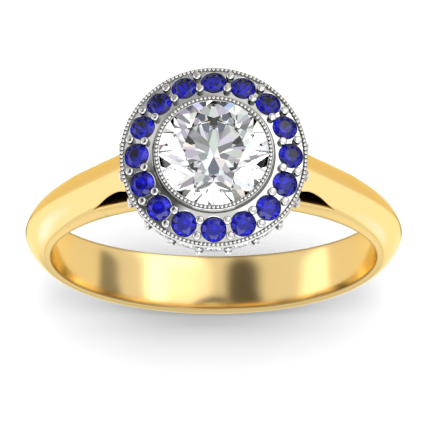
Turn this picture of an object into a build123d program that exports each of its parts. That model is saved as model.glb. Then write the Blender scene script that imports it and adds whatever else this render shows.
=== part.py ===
from build123d import *
import math
import os

# Halo engagement ring: yellow-gold cathedral shank, white-metal head, sapphire halo, round centre stone.
# Millimetres. Origin at the centre of the finger hole, Y along the finger, Z up to the centre stone.

# Finger hole and shank
FINGER_R = 8.25
BAND_WIDTH = 2.49           # at the height of the hole's centre
WIDTH_TAPER = 0.052         # width lost for each millimetre of height
SIDE_THICKNESS = 1.36       # at three and nine o'clock
BASE_THICKNESS = 1.50       # at the bottom of the ring
WALL_HEIGHT = 0.35          # flat side wall next to the finger hole
KNIFE_EXPONENT = 1.5        # superellipse of the outer face at the shoulders
FLAT_EXPONENT = 4.0         # the same at the bottom of the ring
RAIL_R = 9.66               # outer radius of the finger rail under the head
RAIL_WIDTH = 2.06

# Arms: ridge line from the side of the band to the gallery
ARM_TOP = (4.43, 11.36)
SHOULDER_ANGLE = 68.7
ARM_CREST_HEIGHT = 0.62     # ridge above the flat wall at the head
ARM_HALF_WIDTH = 0.97
ARM_STUB_BOTTOM = 10.66
WINDOW_TIP = (5.97, 7.66)
WINDOW_CROWN = [(5.68, 8.36), (5.18, 9.41), (4.50, 10.45)]
WINDOW_ROOF = (3.70, ARM_STUB_BOTTOM)

# Centre stone and its collet
STONE_R = 2.75
GIRDLE_Z = 13.28
GIRDLE_HEIGHT = 0.06
COLLET_R = 2.93
COLLET_TOP = 13.45
COLLET_NECK_Z = 12.55
COLLET_FOOT_R = 2.00
COLLET_FOOT_Z = 9.78
COLLET_WALL = 0.32
LIP_R = 2.66
SEAT_DEPTH = 0.28           # the stone's seat slopes at 45 degrees, steeper than the pavilion

# Halo plate
HALO_R = 4.60
HALO_SLOPE = 16.5           # degrees that the plate falls outwards
HALO_Z = 12.95              # plate surface at the circle of sapphires
HALO_THICKNESS = 0.45
SAPPHIRE_CIRCLE = 3.77
SAPPHIRE_R = 0.60
SAPPHIRE_COUNT = 16
TRACK_INNER_R = 4.38
TRACK_Z = 12.78
PLATE_UNDERSIDE = 12.50
INNER_BEAD_CIRCLE = 3.40
OUTER_BEAD_CIRCLE = 4.14
PRONG_R = 0.185
PRONG_RISE = 0.13
PRONG_ROOT = 0.22

# Milgrain
MILGRAIN_R = 0.10
BEZEL_MILGRAIN_CIRCLE = 2.80
BEZEL_MILGRAIN_COUNT = 86
RIM_MILGRAIN_CIRCLE = 4.49
RIM_MILGRAIN_COUNT = 136
MILGRAIN_WIRE = 0.03        # thickness of the wire under the beads

# Gallery band
GALLERY_R = 4.42
GALLERY_INNER_R = 4.05
GALLERY_BOTTOM = 11.40
SIDE_STONE_R = 0.45
SIDE_STONE_COUNT = 20
SIDE_STONE_Z = 11.95
SIDE_BEAD_R = 0.19
SIDE_BEAD_CIRCLE = 4.53
SIDE_BEAD_OFFSET = 0.30
STRUT_WIDTH = 0.50
STRUT_HEIGHT = 0.45
STRUT_COUNT = 4

# Base ring under the collet
BASE_RING_R = 2.15
BASE_RING_INNER_R = 1.45
BASE_RING_BOTTOM = 8.90


def polar(radius, degrees):
    """Point of the XZ plane at a radius and an angle from +X towards +Z."""
    angle = math.radians(degrees)
    return radius * math.cos(angle), radius * math.sin(angle)


def band_width(degrees):
    """Width of the band, which narrows steadily with height."""
    height = FINGER_R * math.sin(math.radians(degrees))
    return BAND_WIDTH - WIDTH_TAPER * height


def low_share(degrees):
    """1 at the bottom of the ring, falling quickly to 0 at its sides."""
    return max(0.0, -math.sin(math.radians(degrees))) ** 3


def rise_share(degrees):
    """0 at the side of the ring, growing to 1 at the top of an arm."""
    return max(0.0, degrees) / SHOULDER_ANGLE


def ridge_radius(degrees):
    """Radius of the ridge: round below, then drawn out into a nearly straight arm."""
    thickness = SIDE_THICKNESS + (BASE_THICKNESS - SIDE_THICKNESS) * low_share(degrees)
    arm_reach = math.hypot(*ARM_TOP) - FINGER_R - SIDE_THICKNESS
    share = rise_share(degrees)
    return FINGER_R + thickness + arm_reach * (0.30 * share ** 2 + 0.70 * share ** 5)


def crest_height(degrees):
    """Height of the ridge above the flat side wall."""
    at_side = ridge_radius(degrees) - FINGER_R - WALL_HEIGHT
    share = min(1.0, 1.6 * rise_share(degrees))
    return at_side + (ARM_CREST_HEIGHT - at_side) * share


def outline_exponent(degrees):
    return KNIFE_EXPONENT + (FLAT_EXPONENT - KNIFE_EXPONENT) * low_share(degrees)


def band_section(degrees):
    """Face in the radial plane: straight walls under a superellipse crest."""
    if degrees < -90:
        shape_angle = -180 - degrees
    else:
        shape_angle = degrees
    half = band_width(shape_angle) / 2
    crest = crest_height(shape_angle)
    wall_top = ridge_radius(shape_angle) - crest
    power = 2 / outline_exponent(shape_angle)
    steps = [-90, -72, -50, -25, 0, 25, 50, 72, 90]
    outline = []
    for step in steps:
        angle = math.radians(abs(step))
        side = math.copysign(1, step)
        across = side * half * math.sin(angle) ** power
        outline.append((across, wall_top + crest * math.cos(angle) ** power))
    x, z = polar(1, degrees)
    plane = Plane(origin=(0, 0, 0), x_dir=(0, 1, 0), z_dir=Vector(0, 1, 0).cross(Vector(x, 0, z)))
    root = FINGER_R - 0.5
    crest_line = Spline(*outline)
    base_line = Polyline((-half, wall_top), (-half, root), (half, root), (half, wall_top))
    return plane * make_face([crest_line, base_line])


def make_window_cutter():
    """Space between the arms and the finger rail, cut right through along Y."""
    right = [WINDOW_TIP] + WINDOW_CROWN + [WINDOW_ROOF]
    left = [(-x, z) for x, z in reversed(right)]
    rail = ThreePointArc(left[-1], (0, RAIL_R), right[0])
    right_line = Spline(*right)
    left_line = Spline(*left)
    roof = Line(right[-1], left[0])
    outline = make_face([rail, right_line, roof, left_line])
    return extrude(Plane.XZ * outline, 4, both=True)


def make_shank(head_core):
    angles = [-90, -68, -45, -22, 0, 14, 28, 40, 50, 58, 64, SHOULDER_ANGLE]
    sections = [band_section(-180 - angle) for angle in reversed(angles[1:])]
    sections += [band_section(angle) for angle in angles]
    band = loft(sections)
    rail_profile = Plane.XY * Pos(FINGER_R - 0.5 + (RAIL_R - FINGER_R + 0.5) / 2, 0) * Rectangle(
        RAIL_R - FINGER_R + 0.5, RAIL_WIDTH)
    rail = revolve(Rot(0, -SHOULDER_ANGLE + 6, 0) * rail_profile, Axis.Y, -(180 - 2 * SHOULDER_ANGLE + 12))
    stub_height = GALLERY_BOTTOM - ARM_STUB_BOTTOM
    stub = Pos(0, 0, ARM_STUB_BOTTOM + stub_height / 2) * Box(2 * ARM_TOP[0] + 0.1, 2 * ARM_HALF_WIDTH, stub_height)
    shank = band + rail + stub
    shank -= make_window_cutter()
    shank -= Rot(90, 0, 0) * Cylinder(FINGER_R, 8)
    shank -= head_core
    return shank


def half_space_block(normal_azimuth, tilt, reach, size):
    """Block whose flat face stands at a distance along a normal, for trimming a gem."""
    block = Pos(0, 0, size / 2 + reach) * Box(2 * size, 2 * size, size)
    return Rot(0, 0, normal_azimuth) * Rot(0, tilt, 0) * block


def facet_ring(points, azimuth):
    """Tilt and distance of the plane through three points, given as (radius, azimuth, height)."""
    vectors = []
    for radius, angle, height in points:
        spread = math.radians(angle - azimuth)
        vectors.append(Vector(radius * math.cos(spread), radius * math.sin(spread), height))
    normal = (vectors[1] - vectors[0]).cross(vectors[2] - vectors[0]).normalized()
    if normal.dot(vectors[0]) < 0:
        normal = normal * -1
    return math.degrees(math.atan2(normal.X, normal.Z)), normal.dot(vectors[0])


def make_brilliant(radius, girdle, crown, pavilion, table, star=0.5, lower=0.75):
    """Round brilliant of 57 facets; crown and pavilion are heights, table, star and lower are shares."""
    half = 22.5
    top = girdle / 2 + crown
    bottom = -girdle / 2 - pavilion
    table_r = table * radius
    inner = table_r * math.cos(math.radians(half))
    star_r = inner + star * (radius - inner)
    spread = math.cos(math.radians(half))
    star_z = top - crown * (star_r * spread - table_r) / (radius - table_r)
    lower_r = (1 - lower) * radius
    lower_z = bottom + pavilion * lower_r * spread / radius
    rings = [
        (0, 8, [(table_r, 0, top), (radius, 0, girdle / 2), (star_r, half, star_z)]),
        (half, 8, [(table_r, 0, top), (table_r, 2 * half, top), (star_r, half, star_z)]),
        (half / 2, 16, [(radius, 0, girdle / 2), (radius, half, girdle / 2), (star_r, half, star_z)]),
        (0, 8, [(0, 0, bottom), (radius, 0, -girdle / 2), (lower_r, half, lower_z)]),
        (half / 2, 16, [(radius, 0, -girdle / 2), (radius, half, -girdle / 2), (lower_r, half, lower_z)]),
    ]
    stone = Pos(0, 0, (top + bottom) / 2) * Cylinder(radius, top - bottom)
    for azimuth, count, points in rings:
        tilt, reach = facet_ring(points, azimuth)
        for index in range(count):
            turn = azimuth + index * 360 / count
            if count == 16:
                turn = azimuth + index * half
            stone -= half_space_block(turn, tilt, reach, 3 * radius)
    return stone


def make_single_cut(radius, girdle, crown, pavilion, table):
    """Small round stone of 17 facets: a table, eight crown facets and eight pavilion facets."""
    top = girdle / 2 + crown
    bottom = -girdle / 2 - pavilion
    crown_tilt = math.degrees(math.atan2(crown, radius * (1 - table)))
    pavilion_tilt = 180 - math.degrees(math.atan2(pavilion, radius))
    crown_reach = radius * math.sin(math.radians(crown_tilt)) + girdle / 2 * math.cos(math.radians(crown_tilt))
    pavilion_reach = (radius * math.sin(math.radians(pavilion_tilt))
                      - girdle / 2 * math.cos(math.radians(pavilion_tilt)))
    stone = Pos(0, 0, (top + bottom) / 2) * Cylinder(radius, top - bottom)
    for index in range(8):
        stone -= half_space_block(45 * index, crown_tilt, crown_reach, 3 * radius)
        stone -= half_space_block(45 * index, pavilion_tilt, pavilion_reach, 3 * radius)
    return stone


def turned(outline):
    """Solid of revolution about Z from an outline of (radius, height) points."""
    return revolve(make_face(Plane.XZ * Polyline(*outline, close=True)), Axis.Z)


def make_collet():
    seat_z = GIRDLE_Z - GIRDLE_HEIGHT / 2
    inner_foot = COLLET_FOOT_R - COLLET_WALL
    return turned([
        (COLLET_FOOT_R, COLLET_FOOT_Z),
        (COLLET_R, COLLET_NECK_Z),
        (COLLET_R, COLLET_TOP),
        (LIP_R, COLLET_TOP),
        (STONE_R, COLLET_TOP - (STONE_R - LIP_R)),
        (STONE_R, seat_z),
        (STONE_R - SEAT_DEPTH, seat_z - SEAT_DEPTH),
        (inner_foot, COLLET_FOOT_Z),
    ])


def collet_core():
    """Everything inside the collet's outer face, which the shank's arms stop at."""
    return turned([
        (0, COLLET_FOOT_Z),
        (COLLET_FOOT_R, COLLET_FOOT_Z),
        (COLLET_R, COLLET_NECK_Z),
        (0, COLLET_NECK_Z),
    ])


def plate_height(radius):
    """Height of the halo plate's conical top at a radius."""
    return HALO_Z - (radius - SAPPHIRE_CIRCLE) * math.tan(math.radians(HALO_SLOPE))


def on_halo(radius, degrees, lift=0.0):
    """Place on the conical plate, with Z along the plate's own normal."""
    spot = Pos(radius, 0, plate_height(radius)) * Rot(0, HALO_SLOPE, 0) * Pos(0, 0, lift)
    return Rot(0, 0, degrees) * spot


def on_gallery(radius, height, degrees):
    """Place on the gallery's side, with Z pointing outwards."""
    return Rot(0, 0, degrees) * Pos(radius, 0, height) * Rot(0, 90, 0)


def steps(count, offset=0.0):
    """Angles of count equal steps clockwise from the back of the ring, moved on by a share of a step."""
    return [90 - (index + offset) * 360 / count for index in range(count)]


def seat_cutter(radius, depth):
    """Stepped seat for a stone: a chamfered mouth, a straight wall and a cone that opens below."""
    mouth = 0.04
    wall = 0.10
    return turned([
        (0, 0.3),
        (radius + mouth + 0.3, 0.3),
        (radius + mouth, 0.0),
        (radius + 0.005, -mouth),
        (radius + 0.005, -wall),
        (0.62 * radius, -wall - 0.36 * radius),
        (0.62 * radius, -depth),
        (0, -depth),
    ])


def dome(radius):
    """Upper half of a ball, standing on its flat side."""
    return Sphere(radius, arc_size1=0, arc_size2=90, align=(Align.CENTER, Align.CENTER, Align.MIN))


def make_prong(radius, rise, root):
    """Round prong: a straight post with a domed head."""
    post = Pos(0, 0, (rise - root) / 2) * Cylinder(radius, rise + root)
    return post + Pos(0, 0, rise) * dome(radius)


def halo_prongs(circle):
    prong = make_prong(PRONG_R, PRONG_RISE, PRONG_ROOT)
    return [on_halo(circle, angle) * prong for angle in steps(SAPPHIRE_COUNT, 0.5)]


def make_halo_plate(prongs):
    groove = 0.10
    inner = COLLET_R
    plate = turned([
        (inner, plate_height(inner) - groove),
        (inner + groove, plate_height(inner + groove)),
        (TRACK_INNER_R, TRACK_Z),
        (HALO_R, TRACK_Z),
        (HALO_R, PLATE_UNDERSIDE + 0.04),
        (HALO_R - 0.04, PLATE_UNDERSIDE),
        (GALLERY_INNER_R, PLATE_UNDERSIDE),
        (inner, plate_height(inner) - HALO_THICKNESS),
    ])
    seat = seat_cutter(SAPPHIRE_R, 1.2)
    seats = [on_halo(SAPPHIRE_CIRCLE, angle) * seat for angle in steps(SAPPHIRE_COUNT)]
    plate -= seats
    plate -= prongs
    return plate


def make_milgrain(circle, height, count):
    """Beaded wire: a flat wire with one row of half-round beads on it."""
    wire = turned([
        (circle - MILGRAIN_R, height),
        (circle + MILGRAIN_R, height),
        (circle + MILGRAIN_R, height + MILGRAIN_WIRE),
        (circle - MILGRAIN_R, height + MILGRAIN_WIRE),
    ])
    bead = Pos(circle, 0, height + MILGRAIN_WIRE) * dome(MILGRAIN_R)
    return [wire] + [Rot(0, 0, angle) * bead for angle in steps(count)]


def gallery_beads(offset):
    """One row of side prongs, let into the band halfway between the stones."""
    root = SIDE_BEAD_CIRCLE - GALLERY_R + 0.15
    bead = make_prong(SIDE_BEAD_R, 0, root)
    places = steps(SIDE_STONE_COUNT, 0.5)
    return [on_gallery(SIDE_BEAD_CIRCLE, SIDE_STONE_Z + offset, angle) * bead for angle in places]


def make_gallery_band(beads):
    band = turned([
        (GALLERY_INNER_R, GALLERY_BOTTOM),
        (GALLERY_R, GALLERY_BOTTOM),
        (GALLERY_R, PLATE_UNDERSIDE),
        (GALLERY_INNER_R, PLATE_UNDERSIDE),
    ])
    seat = seat_cutter(SIDE_STONE_R, 1.0)
    places = steps(SIDE_STONE_COUNT)
    band -= [on_gallery(GALLERY_R, SIDE_STONE_Z, angle) * seat for angle in places]
    band -= beads
    return band


def make_struts():
    """Bars from the collet to the gallery band, between the arms."""
    length = GALLERY_R
    bar = Pos(length / 2, 0, GALLERY_BOTTOM - STRUT_HEIGHT / 2) * Box(length, STRUT_WIDTH, STRUT_HEIGHT)
    trim = turned([
        (0, GALLERY_BOTTOM - 1),
        (GALLERY_R - 0.05, GALLERY_BOTTOM - 1),
        (GALLERY_R - 0.05, GALLERY_BOTTOM),
        (0, GALLERY_BOTTOM),
    ])
    shaped = (bar & trim) - collet_core()
    turns = [45 + index * 360 / STRUT_COUNT for index in range(STRUT_COUNT)]
    return [Rot(0, 0, turn) * shaped for turn in turns]


def make_base_ring():
    ring = turned([
        (BASE_RING_INNER_R, BASE_RING_BOTTOM),
        (BASE_RING_R, BASE_RING_BOTTOM),
        (BASE_RING_R, COLLET_FOOT_Z),
        (BASE_RING_INNER_R, COLLET_FOOT_Z),
    ])
    return ring - Rot(90, 0, 0) * Cylinder(RAIL_R, 8)


def as_group(solids):
    """One compound of separate solids."""
    flat = []
    for shape in solids:
        flat += shape.solids()
    return Compound(children=flat)


def main():
    os.makedirs("parts", exist_ok=True)
    inner_prongs = halo_prongs(INNER_BEAD_CIRCLE)
    outer_prongs = halo_prongs(OUTER_BEAD_CIRCLE)
    upper_beads = gallery_beads(SIDE_BEAD_OFFSET)
    lower_beads = gallery_beads(-SIDE_BEAD_OFFSET)
    diamond = make_brilliant(STONE_R, GIRDLE_HEIGHT, 0.86, 2.36, 0.56, 0.5, 0.72)
    nodes = {
        "shank": make_shank(collet_core()),
        "collet": make_collet(),
        "base_ring": make_base_ring(),
        "bezel_milgrain": as_group(
            make_milgrain(BEZEL_MILGRAIN_CIRCLE, COLLET_TOP, BEZEL_MILGRAIN_COUNT)),
        "halo_plate": make_halo_plate(inner_prongs + outer_prongs),
        "halo_rim_milgrain": as_group(make_milgrain(RIM_MILGRAIN_CIRCLE, TRACK_Z, RIM_MILGRAIN_COUNT)),
        "inner_prong_beads": as_group(inner_prongs),
        "outer_prong_beads": as_group(outer_prongs),
        "gallery_band": make_gallery_band(upper_beads + lower_beads),
        "gallery_upper_beads": as_group(upper_beads),
        "gallery_lower_beads": as_group(lower_beads),
        "gallery_struts": as_group(make_struts()),
        "centre_diamond": Pos(0, 0, GIRDLE_Z) * diamond,
    }
    sapphire = make_brilliant(SAPPHIRE_R, 0.03, 0.17, 0.50, 0.55, 0.5, 0.75)
    for index, angle in enumerate(steps(SAPPHIRE_COUNT), start=1):
        nodes[f"sapphire_{index:02d}"] = on_halo(SAPPHIRE_CIRCLE, angle, -0.08) * sapphire
    side_stone = make_single_cut(SIDE_STONE_R, 0.03, 0.12, 0.38, 0.55)
    for index, angle in enumerate(steps(SIDE_STONE_COUNT), start=1):
        place = on_gallery(GALLERY_R - 0.07, SIDE_STONE_Z, angle)
        nodes[f"side_diamond_{index:02d}"] = place * side_stone
    for name, shape in nodes.items():
        export_step(shape, f"parts/{name}.step")
        print(name, round(shape.volume, 3))


main()
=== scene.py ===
# %% [markdown]
# # A halo engagement ring, from its frame to its finish
# The real ring is a yellow-gold casting that carries a white-metal head: a cup for the centre stone, a
# conical plate of sixteen sapphires, and a side wall of small diamonds. The frame file gives where each
# piece sits. Everything here is built in its final place, so nothing has to be moved afterwards.

# %% Load the frame
import bmesh
import bpy
import numpy as np
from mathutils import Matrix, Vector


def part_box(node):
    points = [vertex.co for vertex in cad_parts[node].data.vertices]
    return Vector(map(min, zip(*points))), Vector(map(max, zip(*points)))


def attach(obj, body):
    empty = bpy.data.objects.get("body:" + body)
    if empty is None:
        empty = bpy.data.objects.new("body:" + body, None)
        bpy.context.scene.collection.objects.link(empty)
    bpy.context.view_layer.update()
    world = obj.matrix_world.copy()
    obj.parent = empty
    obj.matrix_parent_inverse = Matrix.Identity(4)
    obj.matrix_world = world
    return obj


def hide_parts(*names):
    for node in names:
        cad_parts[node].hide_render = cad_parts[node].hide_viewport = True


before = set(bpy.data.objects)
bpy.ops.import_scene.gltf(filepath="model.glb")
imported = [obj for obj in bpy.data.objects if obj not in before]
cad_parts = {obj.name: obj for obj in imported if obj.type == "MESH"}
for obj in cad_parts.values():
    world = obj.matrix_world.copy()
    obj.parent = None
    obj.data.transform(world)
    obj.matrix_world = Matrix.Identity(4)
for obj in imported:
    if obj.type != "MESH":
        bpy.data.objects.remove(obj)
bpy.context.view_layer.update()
MM = 0.001
BODY = "root"

# %% [markdown]
# Small measuring helpers. The frame is in metres, but jewellery is thought of in millimetres, so every size
# below is in millimetres and is turned to metres at the very end, when a mesh is made.


# %% Sizes that come from the frame
def node_box(name):
    """Lowest and highest corners of a frame node, in millimetres."""
    low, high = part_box(name)
    return np.array(low) / MM, np.array(high) / MM


FLOOR_Z = node_box("shank")[0][2]
collet_low, collet_high = node_box("collet")
plate_low, plate_high = node_box("halo_plate")
band_low, band_high = node_box("gallery_band")
base_high = node_box("base_ring")[1]
table_z = node_box("centre_diamond")[1][2]
print("ring stands at", round(FLOOR_Z, 3), "and its table is at", round(table_z, 3))

# %% [markdown]
# The camera looks down on the ring from the front, far away with a long lens, so that near and far parts
# keep almost the same scale. A short lens close by would make the head look too big for the band.

# %% Camera
CAMERA_DISTANCE = 280.0
CAMERA_ELEVATION = np.radians(72.35)
AIM_HEIGHT = 3.42
LENS = 464.8
SENSOR = 36.0
FRAME_SHIFT = 0.00305


def add_camera():
    """Places the camera on a line that rises in front of the ring and meets the ring's upright axis."""
    data = bpy.data.cameras.new("camera")
    data.lens = LENS
    data.sensor_width = SENSOR
    data.shift_x = FRAME_SHIFT
    data.clip_start = 0.01
    data.clip_end = 10.0
    camera = bpy.data.objects.new("camera", data)
    bpy.context.scene.collection.objects.link(camera)
    back = np.array([0.0, -np.cos(CAMERA_ELEVATION), np.sin(CAMERA_ELEVATION)])
    place = np.array([0.0, 0.0, AIM_HEIGHT]) + CAMERA_DISTANCE * back
    camera.location = place * MM
    camera.rotation_euler = (np.pi / 2 - CAMERA_ELEVATION, 0.0, 0.0)
    bpy.context.scene.camera = camera
    return camera


camera = add_camera()
print("camera stands at", [round(v, 4) for v in camera.location])

# %% [markdown]
# The studio and the materials are networks of nodes. A few helpers add a node and feed its inputs by name,
# which keeps the networks short enough to read.


# %% Node helpers
def feed(tree, socket, given):
    """Links another node's output into a socket, or sets the socket to a plain value."""
    if isinstance(given, bpy.types.NodeSocket):
        tree.links.new(given, socket)
    else:
        socket.default_value = given


def node(tree, kind, options=None, **inputs):
    """Adds a node, sets its own options, then feeds the inputs given by name."""
    made = tree.nodes.new(kind)
    for option, value in (options or {}).items():
        setattr(made, option, value)
    for name, given in inputs.items():
        feed(tree, made.inputs[name.replace("_", " ")], given)
    return made


def smooth_step(tree, value, low, high):
    """Nought below low, one above high, and an S curve between."""
    ramp = node(tree, "ShaderNodeMapRange", {"interpolation_type": "SMOOTHSTEP"},
                Value=value, From_Min=low, From_Max=high)
    return ramp.outputs["Result"]


def vector_sum(tree, operation, *given):
    """Adds a vector node that does one operation; its inputs are fed in order."""
    made = node(tree, "ShaderNodeVectorMath", {"operation": operation})
    for socket, value in zip(made.inputs, given):
        feed(tree, socket, value)
    return made


def blend_colours(tree, mask, below, above):
    """Below where the mask is nought, above where it is one; each is an output or a colour."""
    mix = node(tree, "ShaderNodeMix", {"data_type": "RGBA", "clamp_factor": True},
               Factor=mask, A=below, B=above)
    return mix.outputs["Result"]


def new_material(name, **settings):
    """A node material, its tree and its shader. Each setting is put on the shader's own socket."""
    material = bpy.data.materials.new(name)
    material.use_nodes = True
    shader = material.node_tree.nodes["Principled BSDF"]
    for socket, value in settings.items():
        shader.inputs[socket.replace("_", " ")].default_value = value
    return material, material.node_tree, shader


# %% [markdown]
# Polished metal shows nothing but its surroundings, so the studio matters as much as the metal. A jewellery
# studio is a white tent with lamps behind it and a few black cards that give the metal its dark lines. Real
# lamps and cards would need dozens of objects, so the tent is painted on the dome instead. Each card is an
# ellipse, given as seen from above by x and y, and later cards cover earlier ones. The stones get extra
# cards of their own, because facets need small, strongly different patches to sparkle, and the ground under
# the ring has its own patches too. Dull surfaces get one even fill light.

# %% Studio cards
TENT_LIGHT = 0.95
CARDS = [
    # name, centre x and y, half width, half depth, turn in degrees, softness of the edge, brightness
    ("left_lamp", -0.99, 0.10, 0.11, 0.60, 0.0, 0.60, 1.85),
    ("overhead_softbox", 0.37, 0.16, 0.36, 0.42, 0.0, 0.30, 1.50),
    ("softbox_core", 0.45, 0.46, 0.28, 0.15, 0.0, 0.80, 2.40),
    ("softbox_edge_lamp", 0.64, 0.28, 0.10, 0.14, 0.0, 0.90, 2.60),
    ("back_left_card", -0.25, 0.74, 0.30, 0.20, 0.0, 0.80, 0.50),
    ("black_flag", -0.37, 0.11, 0.205, 0.39, -14.0, 0.60, 0.11),
    ("right_card", 0.985, 0.25, 0.07, 0.30, 0.0, 0.60, 0.28),
]
STONE_CARDS = [
    # the same, with a colour in place of the brightness
    ("bright_front", 0.0, -0.60, 0.90, 0.45, 0.0, 0.50, (1.30, 1.30, 1.30)),
    ("overhead_haze", 0.0, 0.06, 0.54, 0.58, 0.0, 1.00, (0.52, 0.53, 0.56)),
    ("grey_card_left", -0.16, 0.06, 0.16, 0.18, 0.0, 0.90, (0.16, 0.17, 0.19)),
    ("grey_card_right", 0.24, -0.02, 0.12, 0.18, 0.0, 0.90, (0.20, 0.21, 0.23)),
    ("slate_card", -0.01, 0.44, 0.12, 0.09, 0.0, 0.30, (0.12, 0.15, 0.21)),
    ("teal_card", 0.12, 0.36, 0.05, 0.07, 0.0, 0.40, (0.35, 0.75, 0.80)),
    ("front_black_card", 0.42, -0.52, 0.12, 0.16, 30.0, 0.20, (0.10, 0.11, 0.13)),
    ("left_black_card", -0.74, -0.30, 0.09, 0.20, 10.0, 0.20, (0.12, 0.12, 0.14)),
    ("back_black_card", 0.20, 0.80, 0.22, 0.10, 0.0, 0.20, (0.10, 0.10, 0.12)),
    ("right_black_card", 0.84, -0.12, 0.08, 0.16, 0.0, 0.20, (0.12, 0.12, 0.14)),
    ("pale_blue_card", -0.45, 0.30, 0.12, 0.12, 20.0, 0.30, (0.95, 1.20, 1.55)),
    ("pale_violet_card", 0.55, 0.30, 0.10, 0.12, 20.0, 0.30, (1.00, 0.95, 1.40)),
    ("pale_peach_card", -0.55, -0.62, 0.12, 0.10, 0.0, 0.30, (1.55, 1.25, 0.95)),
]
GROUND_CARDS = [
    ("left_floor_glow", -0.60, -0.26, 0.23, 0.10, -22.0, 1.10, (2.40, 1.60, 2.60)),
    ("right_floor_glow", 0.52, -0.36, 0.20, 0.10, 14.0, 1.10, (2.00, 1.45, 2.10)),
    ("left_floor_slot", -0.31, 0.29, 0.08, 0.09, 0.0, 0.80, (0.15, 0.14, 0.12)),
    ("right_floor_slot", 0.31, 0.29, 0.08, 0.09, 0.0, 0.80, (0.15, 0.14, 0.12)),
    ("floor_shadow", -0.05, -0.12, 0.24, 0.13, 0.0, 0.80, (0.92, 0.92, 0.92)),
    ("front_floor_strip", 0.0, -0.28, 0.16, 0.05, 0.0, 0.80, (0.86, 0.83, 0.84)),
    ("left_neutral_floor", -0.90, 0.40, 0.14, 0.16, 0.0, 1.60, (1.00, 0.94, 0.84)),
    ("right_neutral_floor", 0.90, 0.40, 0.14, 0.16, 0.0, 1.60, (1.00, 0.94, 0.84)),
]
GROUND_FRONT = (1.32, 1.32, 1.32, 1.0)
GROUND_BACK = (1.00, 0.86, 0.57, 1.0)
GROUND_TURNS_BACK = (0.08, 0.42)   # the y between which the front ground gives way to the back
HORIZON = (-0.06, 0.04)            # the height between which the ground gives way to the tent
FILL = 1.09
FIRE = 0.75                        # strength of the colours in the stones
FIRE_SCALE = 3.2
SWELL_SCALE = 2.3
SWELL_FROM = (0.34, 0.62)
SWELL_TO = (0.55, 1.50)


def card_mask(tree, direction, x, y, half_width, half_depth, turn, softness):
    """One inside the ellipse and nought outside: distance from the centre, measured in half sizes."""
    squash = node(tree, "ShaderNodeMapping", {"vector_type": "TEXTURE"}, Vector=direction,
                  Location=(x, y, 0.0), Rotation=(0.0, 0.0, np.radians(turn)),
                  Scale=(half_width, half_depth, 1.0))
    length = vector_sum(tree, "LENGTH", squash.outputs["Vector"])
    return smooth_step(tree, length.outputs["Value"], 1.0 + softness / 2, 1.0 - softness / 2)


def paint_cards(tree, direction, light, cards):
    """Lays every card over the light in turn. One number for brightness means a grey card."""
    for name, *place, colour in cards:
        if isinstance(colour, float):
            colour = (colour, colour, colour)
        light = blend_colours(tree, card_mask(tree, direction, *place), light, colour + (1.0,))
    return light


def add_fire(tree, direction, light):
    """Multiplies the light by a coloured noise for the stone's fire and a grey one for its contrast."""
    fire = node(tree, "ShaderNodeTexNoise", Vector=direction, Scale=FIRE_SCALE, Detail=2.0)
    calm = 1.0 - FIRE / 2
    tint = vector_sum(tree, "MULTIPLY_ADD", fire.outputs["Color"], (FIRE, FIRE, FIRE), (calm, calm, calm))
    swell = node(tree, "ShaderNodeTexNoise", Vector=direction, Scale=SWELL_SCALE, Detail=0.0)
    level = node(tree, "ShaderNodeMapRange", Value=swell.outputs["Fac"],
                 From_Min=SWELL_FROM[0], From_Max=SWELL_FROM[1], To_Min=SWELL_TO[0], To_Max=SWELL_TO[1])
    for factor in (tint.outputs["Vector"], level.outputs["Result"]):
        light = vector_sum(tree, "MULTIPLY", light, factor).outputs["Vector"]
    return light


# %% [markdown]
# The dome puts the cards together. A light path node tells which kind of ray asks: one that came through a
# stone, one off a dull surface, or one straight from the camera. Two real soft lamps stand outside the
# dome's painting: one high above gives the floor its soft shadow, and one in front gives the metal a
# highlight.


# %% Studio dome
def build_studio():
    """Paints the tent for metal, for stones and for dull surfaces, and the ground under the horizon."""
    world = bpy.data.worlds.new("studio")
    world.use_nodes = True
    bpy.context.scene.world = world
    tree = world.node_tree
    tree.nodes.clear()
    direction = node(tree, "ShaderNodeTexCoord").outputs["Generated"]
    axes = node(tree, "ShaderNodeSeparateXYZ", Vector=direction)
    flat = node(tree, "ShaderNodeCombineXYZ", X=axes.outputs["X"], Y=axes.outputs["Y"]).outputs["Vector"]
    light = paint_cards(tree, flat, (TENT_LIGHT, TENT_LIGHT, TENT_LIGHT, 1.0), CARDS)
    stone_light = add_fire(tree, direction, paint_cards(tree, flat, light, STONE_CARDS))
    path = node(tree, "ShaderNodeLightPath")
    light = blend_colours(tree, path.outputs["Is Transmission Ray"], light, stone_light)
    light = blend_colours(tree, path.outputs["Is Diffuse Ray"], light, (FILL, FILL, FILL, 1.0))
    behind = smooth_step(tree, axes.outputs["Y"], *GROUND_TURNS_BACK)
    ground = paint_cards(tree, flat, blend_colours(tree, behind, GROUND_FRONT, GROUND_BACK), GROUND_CARDS)
    light = blend_colours(tree, smooth_step(tree, axes.outputs["Z"], *HORIZON), ground, light)
    tent = node(tree, "ShaderNodeBackground", Color=light, Strength=1.0)
    plain = node(tree, "ShaderNodeBackground", Color=(1.0, 1.0, 1.0, 1.0), Strength=1.0)
    choose = node(tree, "ShaderNodeMixShader", Fac=path.outputs["Is Camera Ray"])
    feed(tree, choose.inputs[1], tent.outputs["Background"])
    feed(tree, choose.inputs[2], plain.outputs["Background"])
    node(tree, "ShaderNodeOutputWorld", Surface=choose.outputs["Shader"])


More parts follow.
